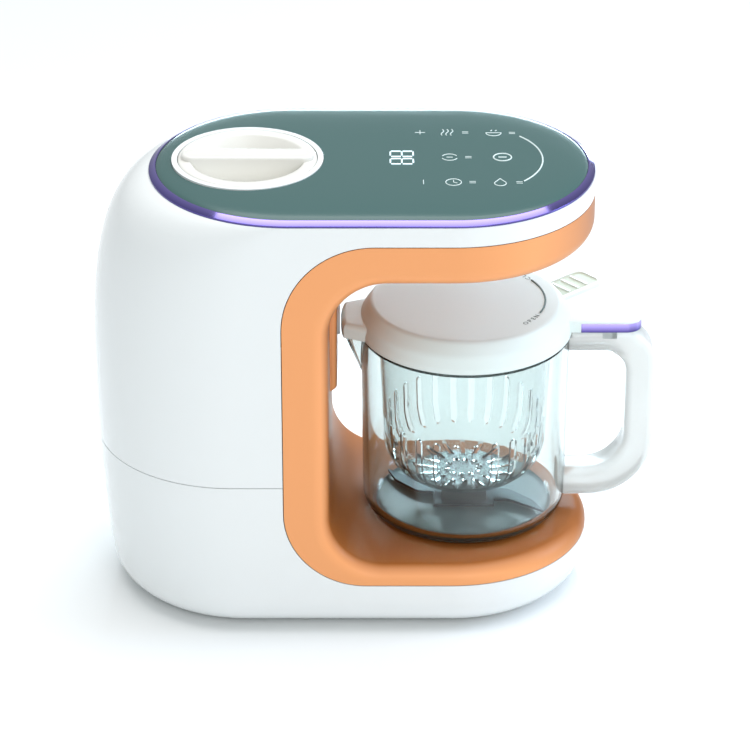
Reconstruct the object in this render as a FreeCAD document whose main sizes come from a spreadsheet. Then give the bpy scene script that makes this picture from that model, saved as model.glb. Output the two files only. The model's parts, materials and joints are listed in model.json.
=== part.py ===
import FreeCAD
import Part
import math
import os
import re
from types import SimpleNamespace

from FreeCAD import Placement, Rotation, Vector

os.makedirs("parts", exist_ok=True)
doc = FreeCAD.newDocument("baby_food_maker")

# Driving dimensions in millimetres. X runs along the body towards the jar handle, Y to the back
# and Z up; the origin is on the table under the middle of the whole machine.
DIMS = [
    ("half_depth", "77.5", "half of the body's depth"),
    ("body_left", "-156", "widest point of the rounded left end"),
    ("body_right", "120", "right end of the tray and the arm"),
    ("bulge_z", "120", "height of the widest point of the left end"),
    ("shoulder_in", "48.8", "reach of the top left shoulder"),
    ("shoulder_lift", "1.6", "shoulder's curve above the rim"),
    ("shoulder_rise", "=rim_z - bulge_z + shoulder_lift", "height of the top left shoulder"),
    ("tuck_in", "9.5", "how far the left end leans in at the bottom"),
    ("base_z", "1.5", "underside of the base above the table"),
    ("base_round", "20", "rounding under the base"),
    ("seam_z", "93", "joint between the two shells"),
    ("rim_z", "249.4", "top edge of the shell wall"),
    ("wall", "2.6", "wall of the shells and of the liner"),
    ("fit_gap", "0.4", "seam between two moulded parts"),
    ("run_gap", "0.3", "clearance round moving parts"),
    ("frame_left", "-49.9", "left edge of the liner on the front wall"),
    ("frame_drop", "11.4", "liner below the rim of the shell"),
    ("frame_top", "=rim_z - frame_drop", "top edge of the liner on the arm"),
    ("frame_edge", "0.6", "flat edge of the liner below its lip"),
    ("frame_low", "=tray_z - bay_lip - frame_edge", "lower edge of the liner on the base"),
    ("frame_round_top", "49.5", "upper corner of the liner edge"),
    ("frame_round_low", "45", "lower corner of the liner edge"),
    ("bay_left", "-25", "back wall of the jar bay"),
    ("bay_top", "214", "underside of the arm"),
    ("tray_z", "41.4", "floor of the jar bay"),
    ("bay_round_top", "32", "upper corner of the jar bay"),
    ("bay_round_low", "30", "lower corner of the jar bay"),
    ("bay_lip", "9.4", "rounded edge all round the jar bay"),
    ("boss_face", "-21", "front of the steam boss on the bay wall"),
    ("boss_half", "22", "half width of the steam boss"),
    ("boss_drop", "37", "steam boss below the nozzle"),
    ("boss_low", "=steam_z - boss_drop", "lower edge of the steam boss"),
    ("boss_rise", "33", "steam boss above the nozzle"),
    ("boss_high", "=steam_z + boss_rise", "upper edge of the steam boss"),
    ("deck_thick", "3", "inner deck under the panel"),
    ("trim_wide", "3.8", "width of the plated trim ring"),
    ("trim_rise", "3.1", "height of the plated trim ring"),
    ("panel_crown", "2.7", "rise of the panel from its edge to its middle"),
    ("cap_x", "-69.2", "middle of the tank cap"),
    ("cap_radius", "37.9", "tank cap"),
    ("collar_radius", "41.3", "collar round the tank cap"),
    ("collar_rise", "6", "collar above the rim of the shell"),
    ("collar_top", "=rim_z + collar_rise", "top of the collar"),
    ("neck_radius", "34.4", "bore of the tank neck"),
    ("grip_half", "36", "half length of the cap's grip bar"),
    ("grip_wide", "13", "width of the cap's grip bar"),
    ("grip_rise", "9", "grip bar above the rim of the shell"),
    ("grip_top", "=rim_z + grip_rise", "top of the cap's grip bar"),
    ("tank_low", "=steam_z + tank_gap", "underside of the water tank"),
    ("tank_side", "8.5", "water tank in from the body's sides"),
    ("tank_end", "6", "water tank in from the body's left end"),
    ("tank_wall", "2", "wall of the water tank"),
    ("tank_edge", "8", "rounded lower edge of the water tank"),
    ("tank_gap", "15", "water tank above the steam nozzle"),
    ("tank_round", "=half_depth - tank_side", "rounded left end of the water tank"),
    ("tank_right", "-31", "flat right side of the water tank"),
    ("jar_x", "50.3", "axis of the jar, the basket and the drive"),
    ("jar_low", "=tray_z + fit_gap", "underside of the jar"),
    ("jar_top", "151", "rim of the jar"),
    ("jar_radius", "58.3", "jar at its rim"),
    ("jar_foot", "57", "jar at its foot"),
    ("jar_wall", "2.6", "wall of the jar"),
    ("floor_thick", "3.4", "floor of the jar"),
    ("jar_floor", "=jar_low + floor_thick", "inside floor of the jar"),
    ("hub_radius", "11", "hub raised in the jar floor"),
    ("hub_high", "13", "raised hub above the jar's underside"),
    ("hub_top", "=jar_low + hub_high", "top of the raised hub"),
    ("spout_reach", "17.5", "tip of the spout left of the origin"),
    ("spout_low", "125", "lower end of the spout"),
    ("grip_out", "156", "outside of the jar handle"),
    ("grip_half_wide", "10.5", "half width of the jar handle"),
    ("basket_radius", "48.5", "outside of the basket"),
    ("basket_gap", "7.4", "basket above the raised hub"),
    ("basket_low", "=hub_top + basket_gap", "underside of the basket"),
    ("basket_wall", "1.8", "wall of the basket"),
    ("basket_bend", "26", "rounded lower corner of the basket"),
    ("slot_wide", "4", "steam slots in the basket"),
    ("tab_out", "100", "outer end of the basket tab from the jar axis"),
    ("tab_wide", "22", "width of the basket tab"),
    ("tab_angle", "42", "direction of the basket tab in degrees"),
    ("lid_seat", "2.1", "lid above the jar rim"),
    ("lid_low", "=jar_top + lid_seat", "lower edge of the lid"),
    ("lid_rise", "17.1", "height of the lid"),
    ("lid_top", "=lid_low + lid_rise", "top of the lid"),
    ("lid_radius", "59.2", "lid at its lower edge"),
    ("lid_flat", "52.5", "flat top of the lid"),
    ("plug_radius", "46.2", "plug under the lid"),
    ("plate_out", "148", "end of the lid's handle plate"),
    ("plate_half", "12", "half width of the handle plate"),
    ("plate_rise", "1.9", "handle plate above the lid's lower edge"),
    ("plate_low", "=lid_low + plate_rise", "underside of the handle plate"),
    ("plate_high", "6.7", "thickness of the handle plate"),
    ("plate_top", "=plate_low + plate_high", "top of the handle plate"),
    ("cover_reach", "69.2", "steam inlet of the lid from the jar axis"),
    ("steam_rise", "3.9", "steam nozzle above the lid's lower edge"),
    ("steam_z", "=lid_low + steam_rise", "height of the steam nozzle"),
    ("blade_gap", "2.3", "blade above the jar floor"),
    ("blade_low", "=jar_floor + blade_gap", "underside of the blade"),
    ("blade_tip", "47", "reach of the blade"),
    ("motor_x", "-103", "axis of the motor"),
    ("motor_radius", "33", "motor housing"),
    ("motor_high", "78", "motor housing"),
    ("chassis_z", "36", "underside of the chassis plate"),
    ("shaft_radius", "3", "motor, drive and blade shafts"),
    ("big_pulley", "36", "driven pulley"),
    ("small_pulley", "18", "motor pulley"),
    ("belt_low", "12.5", "underside of the belt"),
    ("belt_wide", "8", "width of the belt"),
    ("belt_thick", "1.6", "thickness of the belt"),
    ("boiler_x", "-48", "axis of the boiler"),
    ("boiler_radius", "16", "boiler"),
    ("boiler_high", "84", "boiler"),
    ("hose_radius", "4.6", "outside of the hoses"),
    ("foot_radius", "9", "rubber feet"),
    ("hex_radius", "5.2", "drive coupling over its corners"),
    ("plate_thick", "3", "chassis plate and drive plate"),
    ("chassis_left", "-125", "left edge of the chassis plate"),
    ("chassis_long", "93", "length of the chassis plate"),
    ("chassis_half", "46", "half width of the chassis plate and the drive plate"),
    ("shelf_z", "=chassis_z + plate_thick", "top of the chassis plate"),
    ("leg_radius", "5", "legs of the chassis"),
    ("port_radius", "3.4", "hose ports"),
    ("port_long", "10", "hose ports"),
    ("feed_rise", "11", "water inlet of the boiler above the chassis"),
    ("pump_x", "-70", "axis of the pump and the tank outlet"),
    ("pump_y", "46", "axis of the pump and the tank outlet"),
    ("pump_radius", "12", "pump"),
    ("pump_low", "13", "pump above the chassis"),
    ("pump_high", "48", "pump"),
    ("pump_feed", "27", "outlet of the pump above the chassis"),
    ("bracket_long", "30", "pump bracket"),
    ("bracket_wide", "14", "pump bracket"),
    ("bracket_high", "44", "pump bracket"),
    ("board_left", "-112", "left edge of the power board"),
    ("board_y", "-44", "front face of the power board"),
    ("board_long", "60", "power board"),
    ("board_high", "70", "power board"),
    ("board_thick", "1.6", "circuit boards"),
    ("block_deep", "12", "relay and supply blocks on the power board"),
    ("block_long", "20", "relay and supply blocks on the power board"),
    ("block_high", "18", "relay and supply blocks on the power board"),
    ("nozzle_radius", "5", "steam nozzle in the boss"),
    ("nozzle_bore", "2.2", "steam way through the nozzle"),
    ("nozzle_flange", "9", "flange behind the bay wall"),
    ("nozzle_tail", "14", "tail of the nozzle behind the bay wall"),
    ("gasket_radius", "8", "seal in front of the nozzle"),
    ("gasket_thick", "1.5", "seal in front of the nozzle"),
    ("pcb_drop", "8.4", "underside of the control board below the deck"),
    ("pcb_left", "4", "left edge of the control board"),
    ("pcb_long", "96", "control board"),
    ("pcb_half", "46", "half width of the control board"),
    ("post_radius", "3", "posts of the control board"),
    ("post_in", "4", "posts in from the edge of the control board"),
    ("screen_left", "6", "left edge of the display"),
    ("screen_long", "17", "display"),
    ("screen_half", "14", "half width of the display"),
    ("pulley_edge", "1", "pulley flanges"),
    ("pulley_lip", "3", "height of the pulley flanges"),
    ("belt_play", "0.5", "room beside the belt"),
    ("bearing_radius", "8", "ball bearings"),
    ("bearing_high", "5", "ball bearings"),
    ("seat_wall", "3", "bearing seats"),
    ("stage_drop", "12.4", "drive plate below the tray"),
    ("stage_z", "=tray_z - stage_drop", "underside of the drive plate"),
    ("stage_half", "38", "half length of the drive plate"),
    ("pillar_radius", "4", "pillars of the drive plate"),
    ("pillar_x", "23", "pillars from the jar axis"),
    ("pillar_y", "41", "pillars from the jar axis"),
    ("tray_hole", "10", "hole in the tray for the drive"),
    ("peg_radius", "3", "pegs of the feet"),
    ("coupler_high", "7.6", "drive coupling above the tray"),
    ("coupler_flange", "8", "flange of the drive coupling"),
    ("coupling_radius", "8.2", "driven coupling under the jar"),
    ("hub_half", "12.6", "half width of the blade hub"),
    ("hub_skin", "2.6", "top of the raised hub in the jar"),
    ("bush_wall", "2", "blade bush"),
    ("bush_rim", "1.2", "rim of the blade bush"),
    ("ring_high", "2.4", "seal rings of the lid and the cap"),
    ("ring_deep", "1", "groove of the lid seal"),
    ("cap_groove", "1.4", "groove of the cap seal"),
    ("plug_gap", "0.8", "plug of the cap inside the neck"),
    ("inlet_x", "-96", "middle of the mains inlet"),
    ("inlet_z", "40", "middle of the mains inlet"),
    ("inlet_wide", "26", "mains inlet"),
    ("inlet_high", "17", "mains inlet"),
    ("inlet_deep", "22", "mains inlet"),
    ("inlet_round", "3", "corners of the mains inlet"),
    ("socket_wide", "18", "opening of the mains inlet"),
    ("socket_high", "9", "opening of the mains inlet"),
    ("socket_deep", "13.5", "opening of the mains inlet"),
    ("foot_left", "-92", "left pair of feet"),
    ("foot_left_half", "40", "half the spread of the left feet"),
    ("foot_right", "80", "right pair of feet"),
    ("foot_right_half", "30", "half the spread of the right feet"),
    ("spout_half", "21", "half width of the spout where it leaves the jar"),
    ("spout_tip", "6", "half width of the spout at its tip"),
    ("spout_wall", "2.4", "wall of the spout"),
    ("grip_lift", "8.2", "lower end of the handle above the jar's underside"),
    ("grip_beam", "13.6", "height of the handle's upper bar"),
    ("grip_deep", "16", "depth of the handle's grip"),
    ("grip_foot", "17", "height of the handle's lower bar"),
    ("grip_edge", "4.5", "rounded edges of the handle"),
    ("lug_left", "128.5", "locking lug under the handle plate"),
    ("lug_long", "5", "locking lug"),
    ("lug_wide", "6", "locking lug"),
    ("lug_deep", "4", "locking lug below the handle plate"),
    ("basket_lip", "1.6", "rim of the basket"),
    ("basket_draft", "4", "how far the basket narrows to its floor"),
    ("slot_high", "30", "steam slots in the basket"),
    ("slot_rise", "10", "steam slots above the basket's underside"),
    ("ray_wide", "2.6", "slots in the basket floor"),
    ("ray_long", "12", "slots in the basket floor"),
    ("ray_from", "16", "slots in the basket floor from its axis"),
    ("hole_radius", "1.8", "holes in the basket floor"),
    ("hole_ring", "9", "ring of holes in the basket floor"),
    ("tab_round", "6", "outer corners of the basket tab"),
    ("tab_edge", "2.4", "border round the tab's recess"),
    ("tab_recess", "0.7", "depth of the tab's recess"),
    ("rib_wide", "1.6", "grip ribs on the basket tab"),
    ("rib_pitch", "7", "grip ribs on the basket tab"),
    ("rib_from", "74", "first grip rib from the jar axis"),
    ("blade_thick", "1.6", "blade"),
    ("blade_half", "17", "half width of the blade's square middle"),
    ("lid_wall", "2.6", "skirt and plug of the lid"),
    ("lid_drop", "5", "hollow under the lid below its top"),
    ("lid_corner", "50.6", "upper corner of the hollow under the lid"),
    ("seal_drop", "3", "lid seal below the lid's lower edge"),
    ("plug_deep", "7", "plug below the lid's lower edge"),
    ("cover_high", "8.4", "steam inlet of the lid"),
    ("cover_half", "27", "half width of the steam inlet at the lid"),
    ("cover_tip", "11", "half width of the steam inlet at its end"),
    ("cover_round", "9", "corners of the steam inlet"),
    ("steam_bore", "3.2", "steam way into the lid"),
    ("plate_round", "9", "corners of the handle plate"),
    ("band_left", "114", "left end of the plated band on the handle plate"),
    ("band_thick", "1.2", "plated band on the handle plate"),
    ("band_drop", "1.4", "plated band below the plate's top"),
]

sheet = doc.addObject("Spreadsheet::Sheet", "Dims")
for row, (alias, value, note) in enumerate(DIMS, 1):
    sheet.set(f"A{row}", alias)
    sheet.set(f"B{row}", value)
    sheet.set(f"C{row}", note)
    sheet.setAlias(f"B{row}", alias)
doc.recompute()

ALIASES = {alias for alias, _, _ in DIMS}
D = SimpleNamespace(**{alias: float(sheet.get(alias)) for alias in ALIASES})
NODES = []
UP = Vector(0, 0, 1)
ALONG = Vector(1, 0, 0)
BACK = Vector(0, 1, 0)
FAR = 400.0


def bind(obj, prop, text):
    """Tie one property to the dimension sheet."""
    named = re.sub(r"[a-z_]+", lambda m: "Dims." + m.group() if m.group() in ALIASES else m.group(), text)
    obj.setExpression(prop, named)


def place(obj, at):
    """Tie the position of an object to the dimension sheet."""
    for axis, text in zip("xyz", at):
        bind(obj, "Placement.Base." + axis, text)
    return obj


def rod(name, radius, height, at, axis=UP):
    """A round bar from its end point along an axis."""
    obj = doc.addObject("Part::Cylinder", name)
    obj.Placement = Placement(Vector(), Rotation(UP, axis))
    bind(obj, "Radius", radius)
    bind(obj, "Height", height)
    return place(obj, at)


def block(name, length, width, height, at):
    """A rectangular block from its lowest corner."""
    obj = doc.addObject("Part::Box", name)
    bind(obj, "Length", length)
    bind(obj, "Width", width)
    bind(obj, "Height", height)
    return place(obj, at)


def hexagon(name, radius, height, at):
    """A hexagonal bar standing on its end."""
    obj = doc.addObject("Part::Prism", name)
    obj.Polygon = 6
    bind(obj, "Circumradius", radius)
    bind(obj, "Height", height)
    return place(obj, at)


def joined(name, *shapes):
    """Several objects made one."""
    obj = doc.addObject("Part::MultiFuse", name)
    obj.Shapes = list(shapes)
    obj.Refine = False
    return obj


def less(name, base, *tools):
    """An object with others taken out of it."""
    obj = doc.addObject("Part::Cut", name)
    obj.Base = base
    obj.Tool = tools[0] if len(tools) == 1 else joined(name + "_holes", *tools)
    return obj


def node(label, obj):
    """Keep an object as a finished part."""
    obj.Label = label
    NODES.append(obj)
    return obj


def moulded(label, shape):
    """Keep a free-formed shape as a finished part."""
    obj = doc.addObject("Part::Feature", label)
    obj.Shape = shape
    obj.Placement = Placement()
    return node(label, obj)


def outline(corners, to_point):
    """A closed wire through (u, v, radius) corners, each rounded by its radius."""
    points = [to_point(u, v) for u, v, _ in corners]
    edges = []
    joints = []
    for i, (_, _, radius) in enumerate(corners):
        here = points[i]
        before = (points[i - 1] - here).normalize()
        after = (points[(i + 1) % len(points)] - here).normalize()
        if radius == 0:
            joints.append((here, here))
            continue
        half = before.getAngle(after) / 2
        reach = radius / math.tan(half)
        start = here + before * reach
        end = here + after * reach
        centre = here + (before + after).normalize() * (radius / math.sin(half))
        middle = centre + (here - centre).normalize() * radius
        edges.append(Part.Arc(start, middle, end).toShape())
        joints.append((start, end))
    for i, (start, _) in enumerate(joints):
        previous = joints[i - 1][1]
        if previous.distanceToPoint(start) > 1e-6:
            edges.append(Part.makeLine(previous, start))
    return Part.Wire(Part.__sortEdges__(edges))


def upright(corners, low, high):
    """A plan outline in X and Y pulled up from one height to another."""
    wire = outline(corners, lambda u, v: Vector(u, v, low))
    return Part.Face(wire).extrude(UP * (high - low))


def across(corners, half):
    """A side outline in X and Z pulled through the depth."""
    wire = outline(corners, lambda u, v: Vector(u, -half, v))
    return Part.Face(wire).extrude(BACK * (2 * half))


def turned(corners, x):
    """A radius and height outline turned about an upright axis."""
    wire = outline(corners, lambda u, v: Vector(x + u, 0, v))
    return Part.Face(wire).revolve(Vector(x, 0, 0), UP, 360)


def disc(radius, low, high, x, y=0):
    """A round bar standing between two heights."""
    return Part.makeCylinder(radius, high - low, Vector(x, y, low))


def round_edges(shape, radius, chosen):
    """Round every edge that passes a test on its middle point."""
    edges = [e for e in shape.Edges if chosen(e.valueAt((e.FirstParameter + e.LastParameter) / 2), e)]
    return shape.makeFillet(radius, edges)


def stadium(left, right, half, z):
    """A plan outline with two straight sides and two half-round ends."""
    a = left + half
    b = right - half
    edges = [
        Part.makeLine(Vector(a, -half, z), Vector(b, -half, z)),
        Part.Arc(Vector(b, -half, z), Vector(right, 0, z), Vector(b, half, z)).toShape(),
        Part.makeLine(Vector(b, half, z), Vector(a, half, z)),
        Part.Arc(Vector(a, half, z), Vector(left, 0, z), Vector(a, -half, z)).toShape(),
    ]
    return Part.Wire(edges)


def slab(left, right, half, low, high):
    """A plate of stadium outline."""
    return Part.Face(stadium(left, right, half, low)).extrude(UP * (high - low))


def left_at(z):
    """The left end of the body at one height."""
    if z < D.bulge_z:
        return D.body_left + D.tuck_in * ((D.bulge_z - z) / D.bulge_z) ** 2
    rise = min((z - D.bulge_z) / D.shoulder_rise, 1)
    return D.body_left + D.shoulder_in * (1 - (1 - rise**3) ** (1 / 3))


SECTIONS = 12


def hull(inset, low, high):
    """The body's outer form between two heights, drawn in by an inset."""
    wires = []
    for i in range(SECTIONS + 1):
        z = low + (high - low) * math.sin(math.pi / 2 * i / SECTIONS)
        wires.append(stadium(left_at(z) + inset, D.body_right - inset, D.half_depth - inset, z))
    return Part.makeLoft(wires, True, False)


def bay(grow, left, top, low, round_top, round_low):
    """The C-shaped opening of the jar bay seen from the front, open to the right."""
    return across(
        [
            (FAR, top + grow, 0),
            (left - grow, top + grow, round_top + grow),
            (left - grow, low - grow, round_low + grow),
            (FAR, low - grow, 0),
        ],
        D.half_depth + 10,
    )


# Shells: the outer form is one smooth pebble with a stadium plan, split at the seam.
frame = (D.frame_left, D.frame_top, D.frame_low, D.frame_round_top, D.frame_round_low)
opening = (D.bay_left, D.bay_top, D.tray_z, D.bay_round_top, D.bay_round_low)
floor_z = D.base_z + D.wall
rim_left = left_at(D.rim_z)
shell_cut = bay(D.fit_gap, *frame)

upper = hull(0, D.seam_z + D.fit_gap / 2, D.rim_z)
upper = upper.cut(hull(D.wall, D.seam_z - 1, D.rim_z).fuse(
    slab(rim_left + D.wall, D.body_right - D.wall, D.half_depth - D.wall, D.rim_z - 0.01, D.rim_z + 1)))
moulded("upper_shell", upper.cut(shell_cut))


def tub(inset, low, high):
    """The lower form with its rounded underside."""
    form = hull(inset, low, high)
    return round_edges(form, D.base_round - inset, lambda p, e: p.z < low + 1e-3)


foot_spots = [
    ("foot_left", "-foot_left_half"), ("foot_left", "foot_left_half"),
    ("foot_right", "-foot_right_half"), ("foot_right", "foot_right_half"),
]
peg_spots = [
    (x, side * half)
    for x, half in [(D.foot_left, D.foot_left_half), (D.foot_right, D.foot_right_half)]
    for side in (-1, 1)
]

lower = tub(0, D.base_z, D.seam_z - D.fit_gap / 2)
lower = lower.cut(tub(D.wall, floor_z, D.seam_z + 1))
lower = lower.cut(shell_cut)
seat = disc(D.bearing_radius + D.seat_wall, floor_z - 0.5, floor_z + D.bearing_high, D.jar_x)
lower = lower.fuse(seat.cut(disc(D.bearing_radius, floor_z, floor_z + FAR, D.jar_x)))
for x, y in peg_spots:
    lower = lower.cut(disc(D.peg_radius, D.base_z - 1, floor_z + 1, x, y))
inlet_hole = Part.makeBox(
    D.inlet_wide, D.inlet_deep + 10, D.inlet_high,
    Vector(D.inlet_x - D.inlet_wide / 2, D.half_depth - D.inlet_deep, D.inlet_z - D.inlet_high / 2),
)
moulded("lower_shell", lower.cut(inlet_hole).removeSplitter())

# Liner: a thin C-shaped moulding that lines the jar bay, with rounded lips at the front, the back
# and round the right-hand ends of the tray and the arm.


def lining(inset, lip):
    """The solid between the liner's outer edge and the bay, drawn in by an inset."""
    plan = slab(-FAR, D.body_right - inset, D.half_depth - inset, -1, FAR)
    solid = plan.common(bay(0, *frame)).cut(bay(inset, *opening))

    def on_lip(p, edge):
        low = D.tray_z - inset - 1e-3 < p.z < D.bay_top + inset + 1e-3
        deep = abs(p.y) > D.half_depth - inset - 1e-3
        end = p.x > D.body_right - D.half_depth
        ring = abs(p.z - D.tray_z + inset) < 1e-3 or abs(p.z - D.bay_top - inset) < 1e-3
        inside = p.x > D.bay_left - inset - 1e-3
        return low and inside and (deep or (end and ring))

    return round_edges(solid, lip, on_lip)


boss_corners = [
    (D.bay_left - D.wall, D.boss_low, 0),
    (D.boss_face, D.boss_low + 5, 3),
    (D.boss_face, D.boss_high - 5, 3),
    (D.bay_left - D.wall, D.boss_high, 0),
]
boss = across(boss_corners, D.boss_half)
boss = round_edges(boss, 3, lambda p, e: abs(p.x - D.boss_face) < 1e-3 and abs(abs(p.y) - D.boss_half) < 1e-3)
liner = lining(0, D.bay_lip).cut(lining(D.wall, D.bay_lip - D.wall))
liner = liner.fuse(boss)
nozzle_from = Vector(D.bay_left - D.nozzle_tail, 0, D.steam_z)
liner = liner.cut(Part.makeCylinder(D.nozzle_radius, FAR, nozzle_from, ALONG))
liner = liner.cut(disc(D.tray_hole, D.tray_z - D.wall - 1, D.tray_z + 1, D.jar_x))
moulded("liner", liner.removeSplitter())

# Top: an inner deck carries the plated trim, the crowned glass panel and the filler collar.
deck_low = D.rim_z - D.deck_thick
deck_inset = D.wall + D.run_gap
neck_wall = 2.8
neck_out = D.neck_radius + neck_wall
window_gap = 1.0
deck = slab(rim_left + deck_inset, D.body_right - deck_inset, D.half_depth - deck_inset, deck_low, D.rim_z)
deck = deck.cut(disc(neck_out + 0.2, deck_low - 1, D.rim_z + 1, D.cap_x))
window = Part.makeBox(
    D.screen_long + 2 * window_gap, 2 * (D.screen_half + window_gap), 2 * D.deck_thick,
    Vector(D.screen_left - window_gap, -D.screen_half - window_gap, deck_low - 1),
)
moulded("top_deck", deck.cut(window))


def rim_slab(inset, low, high):
    """A plate that follows the shell's top edge."""
    return slab(rim_left + inset, D.body_right - inset, D.half_depth - inset, low, high)


def rim_wire(inset, z):
    """An outline that follows the shell's top edge."""
    return stadium(rim_left + inset, D.body_right - inset, D.half_depth - inset, z)


trim_upright = 1.0
trim_in = D.fit_gap + D.trim_wide
trim = rim_slab(D.fit_gap, D.rim_z, D.rim_z + trim_upright)
bevel = [rim_wire(D.fit_gap, D.rim_z + trim_upright), rim_wire(trim_in - 0.6, D.rim_z + D.trim_rise)]
trim = trim.fuse(Part.makeLoft(bevel, True, True))
moulded("trim_ring", trim.cut(rim_slab(trim_in, D.rim_z - 1, D.rim_z + 10)).removeSplitter())

panel_in = trim_in + 0.2
panel_edge = 2.9
crown_steps = [(0, 0), (0.8, 0.2), (2.4, 0.38), (6, 0.58), (12, 0.76), (20, 0.89), (30, 0.97), (42, 1)]
panel = rim_slab(panel_in, D.rim_z, D.rim_z + panel_edge)
crown = [rim_wire(panel_in + i, D.rim_z + panel_edge + rise * D.panel_crown) for i, rise in crown_steps]
panel = panel.fuse(Part.makeLoft(crown, True, True))
moulded("top_panel", panel.cut(disc(D.collar_radius + 0.2, D.rim_z - 1, FAR, D.cap_x)))

collar = less(
    "collar_ring",
    rod("collar_out", "collar_radius", "collar_top - rim_z", ("cap_x", "0", "rim_z")),
    rod("collar_in", "cap_radius + run_gap", "collar_top", ("cap_x", "0", "rim_z - 1")),
)
node("filler_collar", collar)

# Water tank: a D-shaped bottle under the deck with a round neck up through it.


def tank_form(inset, low, high):
    """The tank's outline, drawn in by an inset."""
    left = rim_left + D.tank_end + inset
    half = D.tank_round - inset
    middle = left + half
    right = D.tank_right - inset
    wire = Part.Wire([
        Part.makeLine(Vector(middle, -half, low), Vector(right, -half, low)),
        Part.makeLine(Vector(right, -half, low), Vector(right, half, low)),
        Part.makeLine(Vector(right, half, low), Vector(middle, half, low)),
        Part.Arc(Vector(middle, half, low), Vector(left, 0, low), Vector(middle, -half, low)).toShape(),
    ])
    return Part.Face(wire).extrude(UP * (high - low))


outlet_bore = D.port_radius - 1.2
spigot_long = 12.0
tank_floor = D.tank_low + D.tank_wall
tank = tank_form(0, D.tank_low, deck_low)
tank = round_edges(tank, D.tank_edge, lambda p, e: p.z < D.tank_low + 1e-3)
space = tank_form(D.tank_wall, tank_floor, deck_low - D.tank_wall)
space = round_edges(space, D.tank_edge - D.tank_wall, lambda p, e: p.z < tank_floor + 1e-3)
tank = tank.fuse(disc(neck_out, deck_low - 1, D.rim_z + 1.5, D.cap_x)).cut(space)
tank = tank.cut(disc(D.neck_radius, tank_floor + D.tank_edge, FAR, D.cap_x))
spigot = disc(D.port_radius + 0.2, D.tank_low - spigot_long, D.tank_low + 1, D.pump_x, D.pump_y)
tank = tank.fuse(spigot)
tank = tank.cut(disc(outlet_bore, D.tank_low - FAR, tank_floor + D.tank_wall, D.pump_x, D.pump_y))
moulded("water_tank", tank.removeSplitter())

# Tank cap: a dished plug with a grip bar across it and a sealing ring round it.
cap_low = D.rim_z + 2.2
cap_top = D.collar_top + 0.2
plug_low = deck_low - 5
plug_out = D.neck_radius - D.plug_gap
bowl = 31.5
groove = D.cap_groove
seal_low = deck_low + D.fit_gap
seal_high = seal_low + D.ring_high
cap_corners = [
    (0, plug_low, 0), (plug_out - 4, plug_low, 0), (plug_out, plug_low + 4, 0),
    (plug_out, seal_low, 0), (plug_out - groove, seal_low, 0),
    (plug_out - groove, seal_high, 0), (plug_out, seal_high, 0),
    (plug_out, cap_low, 0), (D.cap_radius, cap_low, 0), (D.cap_radius, cap_top, 1.2),
    (bowl, cap_top, 1.5), (bowl - 6, plug_low + 5, 6), (bowl - 14, plug_low + 2.4, 8), (0, plug_low + 2.2, 0),
]
cap = turned(cap_corners, D.cap_x)
moulded("tank_cap", cap)

half_bar = D.grip_wide / 2
bar_round = half_bar * 0.92
bar_left = D.cap_x - D.grip_half
bar_right = D.cap_x + D.grip_half
bar_corners = [
    (bar_left, -half_bar, bar_round), (bar_right, -half_bar, bar_round),
    (bar_right, half_bar, bar_round), (bar_left, half_bar, bar_round),
]
bar = upright(bar_corners, plug_low + 1, D.grip_top)
bar = round_edges(bar, 1.6, lambda p, e: p.z > D.grip_top - 1e-3)
inlay_in = 2.6
inlay_deep = 0.8
inlay_corners = [
    (D.cap_x + (half * (D.grip_half - inlay_in)), side * (half_bar - inlay_in), (half_bar - inlay_in) * 0.9)
    for half, side in [(-1, -1), (1, -1), (1, 1), (-1, 1)]
]
inlay = upright(inlay_corners, D.grip_top - inlay_deep, D.grip_top)
bar = bar.cut(cap).cut(inlay)
moulded("cap_grip", max(bar.Solids, key=lambda s: s.Volume))
moulded("cap_inlay", inlay)

cap_seal = less(
    "cap_seal_ring",
    rod("cap_seal_out", "neck_radius - run_gap", "ring_high", ("cap_x", "0", "rim_z - deck_thick + fit_gap")),
    rod("cap_seal_in", "neck_radius - plug_gap - cap_groove", "2 * rim_z", ("cap_x", "0", "0")),
)
node("cap_seal", cap_seal)

# Column: a chassis plate on legs carries the motor, the boiler, the pump and the power board.
chassis = block(
    "plate", "chassis_long", "2 * chassis_half", "plate_thick", ("chassis_left", "-chassis_half", "chassis_z")
)
legs = [
    rod(f"leg_{i}", "leg_radius", "chassis_z - base_z - wall", (x, y, "base_z + wall"))
    for i, (x, y) in enumerate([
        ("motor_x - leg_radius / 2", "-chassis_half + 13"), ("motor_x - leg_radius / 2", "chassis_half - 13"),
        ("boiler_x + leg_radius", "-chassis_half + 8"), ("boiler_x + leg_radius", "chassis_half - 8"),
    ])
]
shaft_hole = rod("shaft_hole", "shaft_radius + 2", "2 * plate_thick", ("motor_x", "0", "chassis_z - 1"))
node("chassis", less("chassis_cut", joined("chassis_whole", chassis, *legs), shaft_hole))

motor_can = rod("motor_can", "motor_radius", "motor_high", ("motor_x", "0", "shelf_z"))
motor_nose = rod(
    "motor_nose", "motor_radius * 0.4", "6", ("motor_x", "0", "shelf_z + motor_high")
)
motor_bore = rod("motor_bore", "shaft_radius + 0.05", "motor_high", ("motor_x", "0", "shelf_z - 1"))
node("motor", less("motor_cut", joined("motor_whole", motor_can, motor_nose), motor_bore))

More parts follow.
